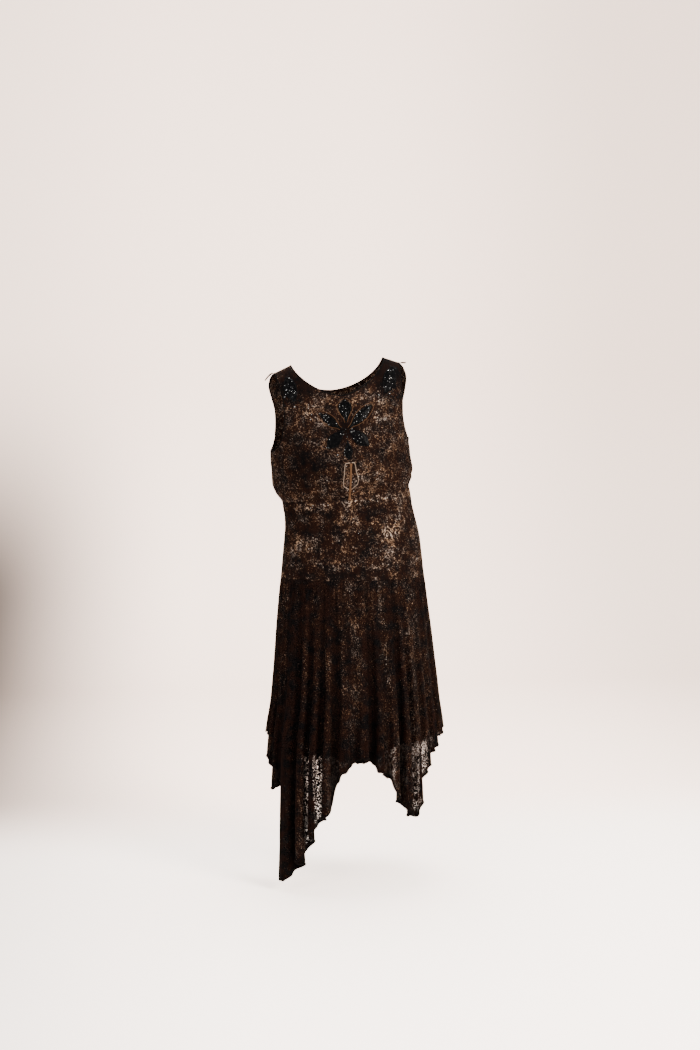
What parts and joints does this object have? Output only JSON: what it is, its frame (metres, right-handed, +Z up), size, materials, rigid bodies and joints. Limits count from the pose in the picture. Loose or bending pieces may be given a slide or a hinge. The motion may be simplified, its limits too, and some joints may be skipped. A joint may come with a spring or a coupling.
{
  "type": "sleeveless lace cocktail dress",
  "caption": "Sleeveless low-waisted evening dress of black and copper lace over a dark slip, with jet beadwork, a fluted skirt and a pointed handkerchief hem, in its worn form.",
  "frame": {"origin": "middle of the shoulder line, between the two shoulder seams, where the wearer's shoulders hold the dress up", "axes": "+Z up along the dress, -Y out of the front, +X to the wearer's left, which is the right side of the picture"},
  "size_m": [0.4646, 0.3645, 1.3363],
  "materials": {
    "lace": "black lace run through with copper metal thread",
    "slip": "dark woven slip",
    "binding": "narrow black rolled binding",
    "hem_cord": "black corded hem edge",
    "jet": "jet beads and black sequins sewn close together",
    "copper": "copper metal braid"
  },
  "bodies": {
    "root": {"bodice_front": "lace", "bodice_back": "lace", "hip_band_front": "lace", "hip_band_back": "lace", "skirt_front": "lace", "skirt_back": "lace", "underslip": "slip", "neck_binding": "binding", "armhole_binding_left": "binding", "armhole_binding_right": "binding", "binding_end_left": "binding", "binding_end_right": "binding", "hem_edging": "hem_cord", "bead_drop": "jet", "bead_leaf_lower_left": "jet", "bead_leaf_lower_right": "jet", "bead_leaf_upper_left": "jet", "bead_leaf_upper_right": "jet", "neck_tablet": "jet", "shoulder_leaf_left": "jet", "shoulder_leaf_right": "jet", "vase_bar": "copper", "vase_braid_left": "copper", "vase_braid_right": "copper"}
  },
  "joints": []
}
